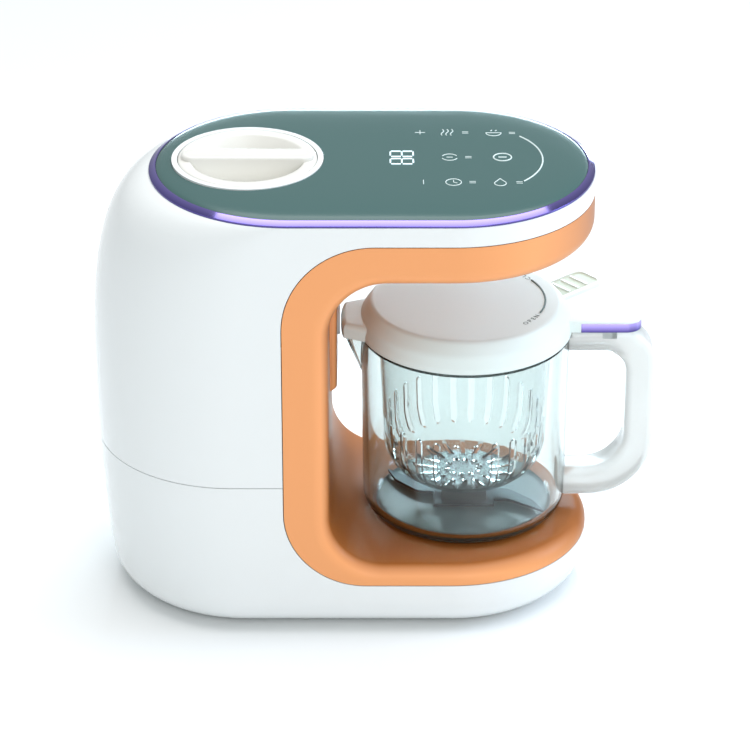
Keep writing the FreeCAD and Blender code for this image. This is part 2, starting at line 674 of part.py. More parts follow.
boiler_can = rod("boiler_can", "boiler_radius", "boiler_high", ("boiler_x", "0", "shelf_z"))
boiler_flange = rod(
    "boiler_flange", "boiler_radius + 3", "4", ("boiler_x", "0", "chassis_z + boiler_high / 2")
)
boiler_port = rod(
    "boiler_port", "port_radius", "port_long", ("boiler_x", "0", "shelf_z + boiler_high")
)
boiler_side = rod(
    "boiler_side", "port_radius", "boiler_radius + 8",
    ("boiler_x", "0", "shelf_z + feed_rise"), BACK,
)
node("boiler", joined("boiler_whole", boiler_can, boiler_flange, boiler_port, boiler_side))

pump_base = block(
    "pump_base", "bracket_long", "bracket_wide", "bracket_high",
    ("pump_x - bracket_long / 2", "pump_y - bracket_wide - 2", "shelf_z"),
)
pump_can = rod("pump_can", "pump_radius", "pump_high", ("pump_x", "pump_y", "shelf_z + pump_low"))
pump_top = rod(
    "pump_top", "port_radius", "port_long", ("pump_x", "pump_y", "shelf_z + pump_low + pump_high")
)
pump_side = rod(
    "pump_side", "port_radius", "pump_radius",
    ("pump_x + port_long", "pump_y", "shelf_z + pump_feed"), ALONG,
)
node("water_pump", joined("pump_whole", pump_base, pump_can, pump_top, pump_side))

board_plate = block(
    "board_plate", "board_long", "board_thick", "board_high", ("board_left", "board_y", "shelf_z")
)
relay = block(
    "relay", "block_long", "block_deep", "block_high",
    ("board_left + 4", "board_y - block_deep", "shelf_z + block_high"),
)
supply = block(
    "supply", "block_long", "block_deep", "block_high",
    ("board_left + block_long + 10", "board_y - block_deep", "shelf_z + 2 * block_high"),
)
node("power_board", joined("power_board_whole", board_plate, relay, supply))

# Steam and water hoses.


def hose(label, points, bend, bore):
    """A soft tube along straight runs joined by bends."""
    edges = []
    start = points[0]
    for i in range(1, len(points) - 1):
        here = points[i]
        back = (points[i - 1] - here).normalize()
        on = (points[i + 1] - here).normalize()
        half = back.getAngle(on) / 2
        reach = bend / math.tan(half)
        centre = here + (back + on).normalize() * (bend / math.sin(half))
        middle = centre + (here - centre).normalize() * bend
        edges.append(Part.makeLine(start, here + back * reach))
        edges.append(Part.Arc(here + back * reach, middle, here + on * reach).toShape())
        start = here + on * reach
    edges.append(Part.makeLine(start, points[-1]))
    path = Part.Wire(edges)
    aim = (points[1] - points[0]).normalize()
    tube = path.makePipe(Part.Face(Part.Wire(Part.makeCircle(D.hose_radius, points[0], aim))))
    core = path.makePipe(Part.Face(Part.Wire(Part.makeCircle(bore, points[0], aim))))
    return moulded(label, tube.cut(core))


port_z = D.shelf_z + D.boiler_high
nozzle_end = D.bay_left - D.nozzle_tail
slip = 0.05
hose(
    "steam_hose",
    [
        Vector(D.boiler_x, 0, port_z + 2), Vector(D.boiler_x, 0, D.steam_z),
        Vector(nozzle_end + 0.6 * D.nozzle_tail, 0, D.steam_z),
    ],
    7, D.port_radius + slip,
)
pump_top_z = D.shelf_z + D.pump_low + D.pump_high
hose(
    "water_hose",
    [Vector(D.pump_x, D.pump_y, pump_top_z + 2), Vector(D.pump_x, D.pump_y, D.tank_low - 2)],
    8, D.port_radius + 0.2 + slip,
)
feed_y = D.boiler_radius + 3
feed_z = D.shelf_z + D.feed_rise
pump_z = D.shelf_z + D.pump_feed
turn_x = D.boiler_x + 10
turn_y = feed_y + 12
feed_start = D.pump_x + D.pump_radius + 4
hose(
    "feed_hose",
    [
        Vector(feed_start, D.pump_y, pump_z), Vector(turn_x, D.pump_y, pump_z),
        Vector(turn_x, D.pump_y, feed_z), Vector(turn_x, turn_y, feed_z),
        Vector(D.boiler_x, turn_y, feed_z), Vector(D.boiler_x, feed_y, feed_z),
    ],
    4.9, D.port_radius + slip,
)

nozzle_tube = rod(
    "nozzle_tube", "port_radius", "nozzle_tail", ("bay_left - nozzle_tail", "0", "steam_z"), ALONG
)
nozzle_body = rod(
    "nozzle_body", "nozzle_radius", "boss_face - bay_left + wall", ("bay_left - wall", "0", "steam_z"), ALONG
)
nozzle_back = rod(
    "nozzle_back", "nozzle_flange", "2", ("bay_left - wall - 2", "0", "steam_z"), ALONG
)
nozzle_way = rod(
    "nozzle_way", "nozzle_bore", "4 * nozzle_tail", ("bay_left - 2 * nozzle_tail", "0", "steam_z"), ALONG
)
nozzle = less("nozzle_cut", joined("nozzle_whole", nozzle_tube, nozzle_body, nozzle_back), nozzle_way)
node("steam_nozzle", nozzle)

gasket = less(
    "gasket_ring",
    rod("gasket_out", "gasket_radius", "gasket_thick", ("boss_face", "0", "steam_z"), ALONG),
    rod("gasket_in", "port_radius", "4 * gasket_thick", ("boss_face - gasket_thick", "0", "steam_z"), ALONG),
)
node("nozzle_seal", gasket)

# Controls under the panel.
pcb_low = "rim_z - deck_thick - pcb_drop"
pcb_top = pcb_low + " + board_thick"
pcb = block("pcb", "pcb_long", "2 * pcb_half", "board_thick", ("pcb_left", "-pcb_half", pcb_low))
post_spots = [
    (x, y)
    for x in ("pcb_left + post_in", "pcb_left + pcb_long - post_in")
    for y in ("post_in - pcb_half", "pcb_half - post_in")
]
posts = [
    rod(f"pcb_post_{i}", "post_radius", "pcb_drop - board_thick", (x, y, pcb_top))
    for i, (x, y) in enumerate(post_spots)
]
node("control_board", joined("control_board_whole", pcb, *posts))
node("display_module", block(
    "screen_box", "screen_long", "2 * screen_half", "deck_thick + pcb_drop - board_thick",
    ("screen_left", "-screen_half", pcb_top),
))

# Base drive: a belt from the motor pulley to the pulley under the jar.
def pulley(label, size, at):
    """A flat-belt pulley with two low flanges, bored for its shaft."""
    low_z = "belt_low - belt_play - pulley_edge"
    face = rod(label + "_face", size, "belt_wide + 2 * (belt_play + pulley_edge)", (at, "0", low_z))
    low = rod(label + "_low", size + " + pulley_lip", "pulley_edge", (at, "0", low_z))
    top_z = "belt_low + belt_wide + belt_play"
    high = rod(label + "_high", size + " + pulley_lip", "pulley_edge", (at, "0", top_z))
    bore = rod(label + "_bore", "shaft_radius", "8 * belt_wide", (at, "0", "0"))
    return node(label, less(label + "_cut", joined(label + "_whole", face, low, high), bore))


pulley("motor_pulley", "small_pulley", "motor_x")
pulley("output_pulley", "big_pulley", "jar_x")


def belt_loop(extra):
    """A closed belt outline round both pulleys at one offset."""
    span = D.jar_x - D.motor_x
    small = D.small_pulley + extra
    big = D.big_pulley + extra
    lean = math.asin((big - small) / span)
    side = Vector(-math.sin(lean), math.cos(lean), 0)
    flip = Vector(side.x, -side.y, 0)
    a = Vector(D.motor_x, 0, D.belt_low)
    b = Vector(D.jar_x, 0, D.belt_low)
    return Part.Wire([
        Part.makeLine(a + side * small, b + side * big),
        Part.Arc(b + side * big, b + ALONG * big, b + flip * big).toShape(),
        Part.makeLine(b + flip * big, a + flip * small),
        Part.Arc(a + flip * small, a - ALONG * small, a + side * small).toShape(),
    ])


belt = Part.Face([belt_loop(D.run_gap + D.belt_thick), belt_loop(D.run_gap)])
belt.validate()
moulded("drive_belt", belt.extrude(UP * D.belt_wide))

node("motor_shaft", rod(
    "motor_spindle", "shaft_radius", "shelf_z + motor_high * 0.7 - belt_low",
    ("motor_x", "0", "belt_low - 2 * pulley_edge"),
))
shaft_top = "jar_low + coupler_high / 2"
node("output_shaft", rod(
    "drive_spindle", "shaft_radius", shaft_top + " - base_z - wall - fit_gap",
    ("jar_x", "0", "base_z + wall + fit_gap"),
))

coupler_disc = rod("coupler_disc", "coupler_flange", "1", ("jar_x", "0", "jar_low + 0.1"))
coupler_hex = hexagon("coupler_hex", "hex_radius", "coupler_high", ("jar_x", "0", "jar_low + 0.1"))
coupler_bore = rod("coupler_bore", "shaft_radius", shaft_top, ("jar_x", "0", "0"))
node("drive_coupler", less("coupler_cut", joined("coupler_whole", coupler_disc, coupler_hex), coupler_bore))


def bearing(label, low):
    """A plain ball bearing round the drive shaft."""
    outer = rod(label + "_outer", "bearing_radius", "bearing_high", ("jar_x", "0", low))
    inner = rod(label + "_inner", "shaft_radius + 0.05", "2 * jar_low", ("jar_x", "0", "0"))
    return node(label, less(label + "_cut", outer, inner))


bearing("bearing_lower", "base_z + wall")
bearing("bearing_upper", "stage_z - 1")
stage = block(
    "stage", "2 * stage_half", "2 * chassis_half", "plate_thick",
    ("jar_x - stage_half", "-chassis_half", "stage_z"),
)
stage_hub = rod(
    "stage_hub", "bearing_radius + seat_wall + 1", "bearing_high + 2", ("jar_x", "0", "stage_z - 2")
)
pillars = [
    rod(f"pillar_{i}", "pillar_radius", "stage_z - base_z - wall", ("jar_x + " + x, y, "base_z + wall"))
    for i, (x, y) in enumerate([
        ("-pillar_x", "-pillar_y"), ("-pillar_x", "pillar_y"),
        ("pillar_x", "-pillar_y"), ("pillar_x", "pillar_y"),
    ])
]
stage_bore = rod("stage_bore", "bearing_radius", "2 * bearing_high", ("jar_x", "0", "stage_z - 1"))
stage_relief = rod(
    "stage_relief", "bearing_radius - 2", "4 * bearing_high", ("jar_x", "0", "stage_z - bearing_high")
)
stage_whole = joined("drive_plate_whole", stage, stage_hub, *pillars)
node("drive_plate", less("drive_plate_cut", stage_whole, stage_bore, stage_relief))

tray_ring = less(
    "tray_ring",
    rod("tray_ring_out", "tray_hole", "wall", ("jar_x", "0", "tray_z - wall")),
    rod("tray_ring_in", "shaft_radius + run_gap", "2 * tray_z", ("jar_x", "0", "0")),
)
node("tray_seal", tray_ring)

feet = []
for i, (x, y) in enumerate(foot_spots):
    feet.append(rod(f"foot_pad_{i}", "foot_radius", "base_z", (x, y, "0")))
    feet.append(rod(f"foot_peg_{i}", "peg_radius", "base_z + wall + 1", (x, y, "0")))
node("feet", joined("feet_whole", *feet))

inlet_set_back = 0.2
inlet = Part.makeBox(
    D.inlet_wide, D.inlet_deep, D.inlet_high,
    Vector(
        D.inlet_x - D.inlet_wide / 2,
        D.half_depth - D.inlet_deep - inlet_set_back,
        D.inlet_z - D.inlet_high / 2,
    ),
)
inlet = round_edges(inlet, D.inlet_round, lambda p, e: abs(e.tangentAt(e.FirstParameter).y) > 0.9)
socket = Part.makeBox(
    D.socket_wide, D.socket_deep, D.socket_high,
    Vector(D.inlet_x - D.socket_wide / 2, D.half_depth - D.socket_deep, D.inlet_z - D.socket_high / 2),
)
moulded("power_inlet", inlet.cut(socket))

# Jar: clear, with a spout towards the column, and a white loop handle bonded to its wall.
jar_out = [
    (0, D.jar_low, 0), (D.jar_foot, D.jar_low, 11), (D.jar_radius, D.jar_top, 0), (0, D.jar_top, 0),
]
jar_in = [
    (0, D.jar_floor, 0), (D.jar_foot - D.jar_wall - 0.6, D.jar_floor, 9),
    (D.jar_radius - D.jar_wall, D.jar_top + 1, 0), (0, D.jar_top + 1, 0),
]


def wedge(inset, low):
    """A pouring spout that swells out of the jar wall towards its rim."""
    root = 6.0
    half = D.spout_half - inset
    tip = D.spout_tip - inset * 2 / 3
    start = 0.3

    def ring(x, wide, narrow, z):
        bend = narrow * 0.6
        corners = [(root, -wide, 0), (x, -narrow, bend), (x, narrow, bend), (root, wide, 0)]
        return outline(corners, lambda u, v: Vector(u, v, z))

    foot = ring(D.jar_x - D.jar_foot - 0.6, half * start, tip * start, low)
    rim = ring(inset - D.spout_reach, half, tip, D.jar_top)
    return Part.makeLoft([foot, rim], True, True)


grip_high = D.plate_low - D.fit_gap
grip_low = D.jar_low + D.grip_lift
grip_in = D.grip_out - D.grip_deep
grip_root = D.jar_x + 40
handle_out = [
    (grip_root, grip_high, 0), (D.grip_out, grip_high, 20),
    (D.grip_out, grip_low, 36), (grip_root, grip_low, 0),
]
handle_in = [
    (grip_root - 10, grip_high - D.grip_beam, 0), (grip_in, grip_high - D.grip_beam, 13),
    (grip_in, grip_low + D.grip_foot, 24), (grip_root - 10, grip_low + D.grip_foot, 0),
]
handle = across(handle_out, D.grip_half_wide).cut(across(handle_in, FAR / 4))
handle = round_edges(
    handle, D.grip_edge,
    lambda p, e: abs(abs(p.y) - D.grip_half_wide) < 1e-3 and p.x > grip_root + 1,
)
lug_play = 2.4
notch = Part.makeBox(
    D.lug_long + 3, D.grip_half_wide + 10, D.lug_deep + 6,
    Vector(D.lug_left - lug_play, -D.grip_half_wide - D.lug_wide - 0.4, D.plate_low - D.lug_deep - 0.6),
)
lid_room = disc(D.lid_radius + 0.6, D.jar_top, D.lid_top, D.jar_x)
spout_room = Part.makeBox(FAR, FAR, D.jar_top, Vector(-FAR / 2, -FAR / 2, 0))
spout_hollow = wedge(D.spout_wall, D.spout_low + 3).common(spout_room)
jar_form = turned(jar_out, D.jar_x)
jar = jar_form.fuse(wedge(0, D.spout_low))
jar = jar.cut(turned(jar_in, D.jar_x)).cut(spout_hollow)
jar = jar.fuse(disc(D.hub_radius, D.jar_low, D.hub_top, D.jar_x))
jar = jar.cut(disc(D.coupling_radius + D.fit_gap, D.jar_low - 1, D.hub_top - D.hub_skin, D.jar_x))
jar = jar.cut(disc(D.shaft_radius + D.bush_wall, D.jar_low, D.hub_top + 1, D.jar_x))
moulded("jar", jar.removeSplitter())
handle = handle.cut(jar_form).cut(lid_room).cut(notch)
moulded("jar_handle", handle.removeSplitter())

bush_rim = rod("bush_flange", "shaft_radius + 2 * bush_wall", "bush_rim", ("jar_x", "0", "hub_top"))
bush_tube = rod("bush_tube", "shaft_radius + bush_wall", "hub_skin", ("jar_x", "0", "hub_top - hub_skin"))
bush_bore = rod("bush_bore", "shaft_radius + 0.05", "2 * hub_top", ("jar_x", "0", "0"))
node("blade_bush", less("bush_cut", joined("bush_whole", bush_rim, bush_tube), bush_bore))

# Basket: clear, hung from the jar rim, slotted for steam, with a lifting tab.
lip_low = D.jar_top + 0.1
lip_high = lip_low + D.basket_lip
lip_out = D.jar_radius - 0.1
inner = D.basket_radius - D.basket_wall
basket_floor = D.basket_low + D.basket_wall
basket = turned(
    [
        (0, D.basket_low, 0), (D.basket_radius - D.basket_draft, D.basket_low, D.basket_bend),
        (D.basket_radius, lip_low, 0), (lip_out, lip_low, 0), (lip_out, lip_high, 0), (inner, lip_high, 0),
        (inner - D.basket_draft, basket_floor, D.basket_bend - D.basket_wall), (0, basket_floor, 0),
    ],
    D.jar_x,
)
wall_slots = 26
floor_slots = 16
floor_holes = 10


def pill(wide, long, high, at):
    """A round-ended cutter along X."""
    body = Part.makeBox(long, wide, high, at - Vector(0, wide / 2, 0))
    ends = [Part.makeCylinder(wide / 2, high, at), Part.makeCylinder(wide / 2, high, at + ALONG * long)]
    return body.fuse(ends)


def ring_of(shape, count, turn=0):
    """Copies of a cutter spread evenly round the jar axis."""
    copies = []
    for i in range(count):
        copy = shape.copy()
        copy.rotate(Vector(D.jar_x, 0, 0), UP, turn + 360 * i / count)
        copies.append(copy)
    return copies


through = D.basket_low - 3
deep = 8.0
slot_from = D.jar_x + 30
slot = Part.makeBox(
    30, D.slot_wide, D.slot_high, Vector(slot_from, -D.slot_wide / 2, D.basket_low + D.slot_rise)
)
slot = round_edges(slot, D.slot_wide * 0.49, lambda p, e: abs(e.tangentAt(e.FirstParameter).x) > 0.9)
ray = pill(D.ray_wide, D.ray_long, deep, Vector(D.jar_x + D.ray_from, 0, through))
hole = Part.makeCylinder(D.hole_radius, deep, Vector(D.jar_x + D.hole_ring, 0, through))
cutters = ring_of(slot, wall_slots) + ring_of(ray, floor_slots) + ring_of(hole, floor_holes, 9)
moulded("basket", basket.cut(Part.makeCompound(cutters)))

tab_from = D.jar_x + lip_out - 2
tab_end = D.jar_x + D.tab_out
half_tab = D.tab_wide / 2
tab_corners = [
    (tab_from, -half_tab, 0), (tab_end, -half_tab, D.tab_round),
    (tab_end, half_tab, D.tab_round), (tab_from, half_tab, 0),
]
recess_from = D.jar_x + D.lid_radius + 6
recess_end = tab_end - D.tab_edge
half_recess = half_tab - D.tab_edge
recess_round = D.tab_round - 2
recess = [
    (recess_from, -half_recess, recess_round - 1), (recess_end, -half_recess, recess_round),
    (recess_end, half_recess, recess_round), (recess_from, half_recess, recess_round - 1),
]
rib_high = D.tab_recess + 0.2
tab = upright(tab_corners, D.jar_top - 0.6, lip_high)
tab = tab.cut(upright(recess, lip_high - D.tab_recess, lip_high + 1))
for i in range(3):
    rib_at = Vector(D.jar_x + D.rib_from + D.rib_pitch * i, 4 - half_tab, lip_high - rib_high)
    tab = tab.fuse(Part.makeBox(D.rib_wide, D.tab_wide - 8, rib_high, rib_at))
tab = tab.cut(disc(lip_out, 0, FAR, D.jar_x)).cut(disc(D.jar_radius + D.run_gap, 0, lip_low, D.jar_x))
tab.rotate(Vector(D.jar_x, 0, 0), UP, D.tab_angle)
moulded("basket_tab", tab.removeSplitter())

# Blade: a square hub over the jar's raised hub, with two swept wings near the floor.
hub_roof = "hub_top + bush_rim + run_gap"
hub_base = block(
    "hub_base", "2 * hub_half", "2 * hub_half", "basket_low - jar_floor - 1.8",
    ("jar_x - hub_half", "-hub_half", "jar_floor + 0.8"),
)
hub_room = rod("hub_room", "hub_radius + run_gap", hub_roof + " - jar_floor", ("jar_x", "0", "jar_floor"))
hub_bore = rod("hub_bore", "shaft_radius", "4", ("jar_x", "0", "hub_top + 1"))
node("blade_hub", less("hub_cut", hub_base, hub_room, hub_bore))
node("blade_shaft", rod(
    "blade_spindle", "shaft_radius", "hub_top + 4.8 - jar_low - coupler_high - run_gap",
    ("jar_x", "0", "jar_low + coupler_high + run_gap"),
))

socket_base = rod(
    "socket_base", "coupling_radius", "hub_top - hub_skin - jar_low - 2 * fit_gap",
    ("jar_x", "0", "jar_low + fit_gap"),
)
socket_disc = rod("socket_disc", "coupler_flange + run_gap", "1.5", ("jar_x", "0", "jar_low"))
socket_hex = hexagon(
    "socket_hex", "hex_radius + fit_gap", "coupler_high + fit_gap", ("jar_x", "0", "jar_low")
)
socket_bore = rod("socket_bore", "shaft_radius", "20", ("jar_x", "0", "jar_low + coupler_high + run_gap"))
node("blade_coupling", less("socket_cut", socket_base, socket_disc, socket_hex, socket_bore))

wing_root = D.jar_x + 10
wing_bend = D.jar_x + 26
wing_end = D.jar_x + D.blade_tip
wing = outline(
    [
        (wing_root, -10, 0), (wing_bend, -11, 8), (wing_end - 3, -24, 0),
        (wing_end - 8, -12, 0), (wing_bend, 1, 10), (wing_root, 3, 0),
    ],
    lambda u, v: Vector(u, v, D.blade_low),
)
wing = Part.Face(wing).extrude(UP * D.blade_thick)
other = wing.copy()
other.rotate(Vector(D.jar_x, 0, 0), UP, 180)
square = Part.makeBox(
    2 * D.blade_half, 2 * D.blade_half, D.blade_thick,
    Vector(D.jar_x - D.blade_half, -D.blade_half, D.blade_low),
)
hub_hole = Part.makeBox(
    2 * D.hub_half, 2 * D.hub_half, 4 * D.blade_thick,
    Vector(D.jar_x - D.hub_half, -D.hub_half, D.blade_low - D.blade_thick),
)
moulded("blade", wing.fuse([other, square]).cut(hub_hole).removeSplitter())

# Lid: a shallow dome with a plug, a steam inlet over the spout and a handle plate.
skirt_in = D.lid_radius - D.lid_wall
hollow_top = D.lid_top - D.lid_drop
ring_out = D.plug_radius + 2.4
plug_in = D.plug_radius - D.lid_wall
groove_in = D.plug_radius - D.ring_deep
groove_top = D.lid_low - D.seal_drop
groove_low = groove_top - D.ring_high
plug_end = D.lid_low - D.plug_deep
lid = turned(
    [
        (0, D.lid_top, 0), (D.lid_flat, D.lid_top - 0.3, 4), (D.lid_radius - 1.4, D.lid_top - 7.5, 8),
        (D.lid_radius, D.lid_low + 3, 2), (D.lid_radius, D.lid_low, 0),
        (skirt_in, D.lid_low, 0), (skirt_in, D.lid_low + 6, 0), (D.lid_corner, hollow_top, 0),
        (ring_out, hollow_top, 0), (ring_out, D.lid_low, 0), (D.plug_radius, D.lid_low, 0),
        (D.plug_radius, groove_top, 0), (groove_in, groove_top, 0), (groove_in, groove_low, 0),
        (D.plug_radius, groove_low, 0), (D.plug_radius, plug_end, 0), (plug_in, plug_end, 0),
        (plug_in, D.lid_top - 2.8, 3), (0, D.lid_top - 2.6, 0),
    ],
    D.jar_x,
)
cover_root = 10.0
cover_end = -25.0
cover_top = D.lid_low + D.cover_high
cover = upright(
    [
        (cover_root, -D.cover_half, 0), (cover_end, -D.cover_tip, D.cover_round),
        (cover_end, D.cover_tip, D.cover_round), (cover_root, D.cover_half, 0),
    ],
    D.lid_low, cover_top,
).common(disc(D.cover_reach, 0, FAR, D.jar_x))
cover = round_edges(cover, 3, lambda p, e: p.z > cover_top - 0.1 and p.x < cover_root - 1)
plate_in = D.jar_x + D.lid_radius - 12


def arm(inset, start, low, high):
    """The handle plate's outline, drawn in by an inset."""
    half = D.plate_half - inset
    end = D.plate_out - inset
    bend = D.plate_round - inset
    return upright([(start, -half, 0), (end, -half, bend), (end, half, bend), (start, half, 0)], low, high)


plate = arm(0, plate_in, D.plate_low, D.plate_top)
plate = round_edges(plate, 1, lambda p, e: p.z > D.plate_top - 1e-3 and p.x > plate_in + 1)
band = arm(0, D.band_left, D.plate_low, D.plate_top - D.band_drop)
band = band.cut(arm(D.band_thick, D.band_left - 1, 0, FAR))
lug = Part.makeBox(
    D.lug_long, D.lug_wide, D.lug_deep + 1, Vector(D.lug_left, -D.lug_wide / 2, D.plate_low - D.lug_deep)
)
ring_room = turned(
    [
        (skirt_in, D.lid_low - 1, 0), (skirt_in, D.lid_low + 6, 0), (D.lid_corner, hollow_top, 0),
        (ring_out, hollow_top, 0), (ring_out, D.lid_low - 1, 0),
    ],
    D.jar_x,
)
plug_room = disc(plug_in, 0, D.lid_top - 2.9, D.jar_x)
steam_way = Part.makeCylinder(D.steam_bore, 60, Vector(-30, 0, D.steam_z), ALONG)
lid = lid.fuse([cover.cut(ring_room).cut(plug_room), plate.cut(ring_room).cut(band), lug]).cut(steam_way)
moulded("lid", lid.removeSplitter())
moulded("lid_trim", band)

lid_ring = less(
    "lid_ring",
    rod("lid_ring_out", "plug_radius + 0.2", "ring_high", ("jar_x", "0", "lid_low - seal_drop - ring_high")),
    rod("lid_ring_in", "plug_radius - ring_deep", "2 * lid_low", ("jar_x", "0", "0")),
)
node("lid_seal", lid_ring)

doc.recompute()
for item in doc.Objects:
    if "Invalid" in item.State or "Error" in item.State:
        raise RuntimeError(item.Label + " did not compute")
for part in NODES:
    if part.Shape.isNull() or not part.Shape.isValid():
        raise RuntimeError(part.Label + " is not a sound shape")
for part in NODES:
    part.Shape.exportStep("parts/" + part.Label + ".step")
    box = part.Shape.BoundBox
    low = f"{box.XMin:.1f} {box.YMin:.1f} {box.ZMin:.1f}"
    high = f"{box.XMax:.1f} {box.YMax:.1f} {box.ZMax:.1f}"
    print(f"{part.Label}: {len(part.Shape.Solids)} solids, {part.Shape.Volume / 1000:.2f} cm3")
    print(f"  from {low} to {high}")
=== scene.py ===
import json
import math
import bpy
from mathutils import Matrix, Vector


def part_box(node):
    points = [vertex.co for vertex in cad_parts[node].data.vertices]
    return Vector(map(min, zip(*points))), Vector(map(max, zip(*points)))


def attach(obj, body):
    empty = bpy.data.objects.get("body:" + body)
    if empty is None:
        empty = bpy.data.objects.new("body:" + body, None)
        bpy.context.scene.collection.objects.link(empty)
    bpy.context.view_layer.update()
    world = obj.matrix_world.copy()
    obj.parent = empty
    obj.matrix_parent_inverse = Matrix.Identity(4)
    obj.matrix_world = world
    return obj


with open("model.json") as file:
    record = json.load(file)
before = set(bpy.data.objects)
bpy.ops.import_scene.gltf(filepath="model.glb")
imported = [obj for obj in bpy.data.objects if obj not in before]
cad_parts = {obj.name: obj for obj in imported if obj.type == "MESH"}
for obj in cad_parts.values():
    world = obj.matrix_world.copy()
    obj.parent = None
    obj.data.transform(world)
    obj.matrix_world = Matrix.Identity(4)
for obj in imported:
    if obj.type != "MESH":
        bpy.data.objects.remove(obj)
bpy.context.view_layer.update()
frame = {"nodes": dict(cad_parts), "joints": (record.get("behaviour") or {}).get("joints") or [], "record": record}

# %% [markdown]
# # A baby food maker in a studio
# The machine steams food in a basket that hangs in a jar, and then blends it in the same jar. Its CAD
# model is already in the scene: every moulded part, seal, shaft and board is a mesh in metres, with X
# along the body, Y to the back and Z up. Modelling those forms again would only make them less exact, so
# this lesson gives them their real materials, prints the touch panel and the lid, adds the pins of the
# mains inlet, and sets the light and the camera.

# %% Units and parts
MM = 0.001
scene = bpy.context.scene
nodes = frame["nodes"]

# %% [markdown]
# ## Tools for materials
# A colour is easiest to pick as an sRGB hex code, but shaders work in linear light, so one function
# converts it. Shader nodes could each be made and linked by hand. One helper that adds a node with its
# settings and links, and one that starts a principled material, keep every finish below short.


# %% Material tools
def srgb(code):
    """A colour picked as an sRGB hex code, as the linear values that shaders use."""
    parts = [int(code[i:i + 2], 16) / 255 for i in (1, 3, 5)]
    return [c / 12.92 if c <= 0.04045 else ((c + 0.055) / 1.055) ** 2.4 for c in parts] + [1.0]


def add(tree, kind, links=(), **settings):
    """One shader node with its settings, and links given as (own input, other node, other output)."""
    made = tree.nodes.new(kind)
    for key, value in settings.items():
        if key in made.inputs:
            made.inputs[key].default_value = value
        else:
            setattr(made, key, value)
    for own, other, output in links:
        tree.links.new(other.outputs[output], made.inputs[own])
    return made


def material(name, colour, rough, **more):
    """A principled material; words in more use underscores for the spaces of the socket names."""
    made = bpy.data.materials.new(name)
    made.use_nodes = True
    shader = made.node_tree.nodes["Principled BSDF"]
    shader.inputs["Base Color"].default_value = srgb(colour)
    shader.inputs["Roughness"].default_value = rough
    for key, value in more.items():
        shader.inputs[key.replace("_", " ")].default_value = value
    return made


print("a middle grey of #808080 is", round(srgb("#808080")[0], 3), "in linear light")

# %% [markdown]
# ## Moulded edges
# A moulding tool leaves a small radius on every edge, and that radius draws a thin line of light around
# each part. Real bevels on all the meshes would add many faces, so a Bevel node rounds the edges in the
# shader. The tool's fine grain is a bump, drawn coarser than the real one and kept very faint.

# %% Moulded edges
# Edge radii in millimetres.
SHELL_EDGE = 0.5
LID_EDGE = 0.6
SMALL_EDGE = 0.4
INNER_EDGE = 0.3
GRAIN = 1.2 * MM
GRAIN_DEEP = 0.02 * MM
GRAIN_STRENGTH = 0.03
BEVEL_SAMPLES = 4


def soft_edges(made, radius):
    """Round the look of moulded edges by a radius in millimetres, with a faint moulding texture."""
    tree = made.node_tree
    place = add(tree, "ShaderNodeTexCoord")
    grain = add(tree, "ShaderNodeTexNoise", [("Vector", place, "Object")], Scale=1 / GRAIN, Detail=2.0)
    round_off = add(tree, "ShaderNodeBevel", Radius=radius * MM, samples=BEVEL_SAMPLES)
    bump = add(tree, "ShaderNodeBump", [("Height", grain, 0), ("Normal", round_off, 0)],
               Strength=GRAIN_STRENGTH, Distance=GRAIN_DEEP)
    tree.links.new(bump.outputs[0], tree.nodes["Principled BSDF"].inputs["Normal"])
    return made


print("edge radii from", INNER_EDGE, "to", LID_EDGE, "mm")

# %% [markdown]
# ## White ABS
# The shells are injection-moulded ABS from a polished tool, the tank cap is a warmer white, and the
# deck, the steam nozzle and the mains inlet come from an unpolished tool. White paint on a plain shader
# looks like paper, so the gloss is a thin clear coat over a slightly softer base.

# %% White ABS
# Polished moulding: a bright, cool white with a sharp highlight.
white_abs = material("Gloss white ABS", "#EFF3F3", 0.18, Coat_Weight=0.4, Coat_Roughness=0.05)
soft_edges(white_abs, SHELL_EDGE)
# Satin moulding: a warmer white whose highlight spreads.
cap_abs = soft_edges(material("Warm white ABS", "#E3E2DC", 0.3, Coat_Weight=0.2), SHELL_EDGE)
# Unpolished moulding: a dull white with a wide, weak highlight.
frame_abs = soft_edges(material("Matt white ABS", "#D9DCDC", 0.5), INNER_EDGE)
print("white finishes:", [made.name for made in (white_abs, cap_abs, frame_abs)])

# %% [markdown]
# ## Orange liner
# One orange moulding lines the jar bay and ends in a rounded lip. The lip looks pale and the inside deep,
# because the bay lies in shade. Two materials would meet at a hard line, so one material takes its tone
# from the way each face points: pale where it faces the front or the back, and a painted shade, deep,
# where it faces into the bay.

# %% Orange liner
# How far a face turns to the front or the back: 0 for not at all, 1 for squarely.
FACES_BAY = 0.2
FACES_OUT = 0.85


def painted_light_ramp(made, node, output, first, second, start=0.0, end=1.0):
    """Painted light or shade: blend the base colour between two tones as a node's output runs from start to end.
    """
    tree = made.node_tree
    ramp = add(tree, "ShaderNodeValToRGB", [("Fac", node, output)])
    ramp.color_ramp.elements[0].position = start
    ramp.color_ramp.elements[0].color = srgb(first)
    ramp.color_ramp.elements[1].position = end
    ramp.color_ramp.elements[1].color = srgb(second)
    tree.links.new(ramp.outputs["Color"], tree.nodes["Principled BSDF"].inputs["Base Color"])


def orange_with_painted_bay_shade(inside, lip):
    """Satin-moulded ABS, a warm orange with a wide highlight; painted shade makes it deeper in the bay than on its
    lip.
    """
    made = soft_edges(material("Satin orange ABS", lip, 0.4, Specular_IOR_Level=0.3), SHELL_EDGE)
    tree = made.node_tree
    place = add(tree, "ShaderNodeNewGeometry")
    axes = add(tree, "ShaderNodeSeparateXYZ", [("Vector", place, "Normal")])
    facing = add(tree, "ShaderNodeMath", [(0, axes, "Y")], operation="ABSOLUTE")
    painted_light_ramp(made, facing, 0, inside, lip, FACES_BAY, FACES_OUT)
    return made
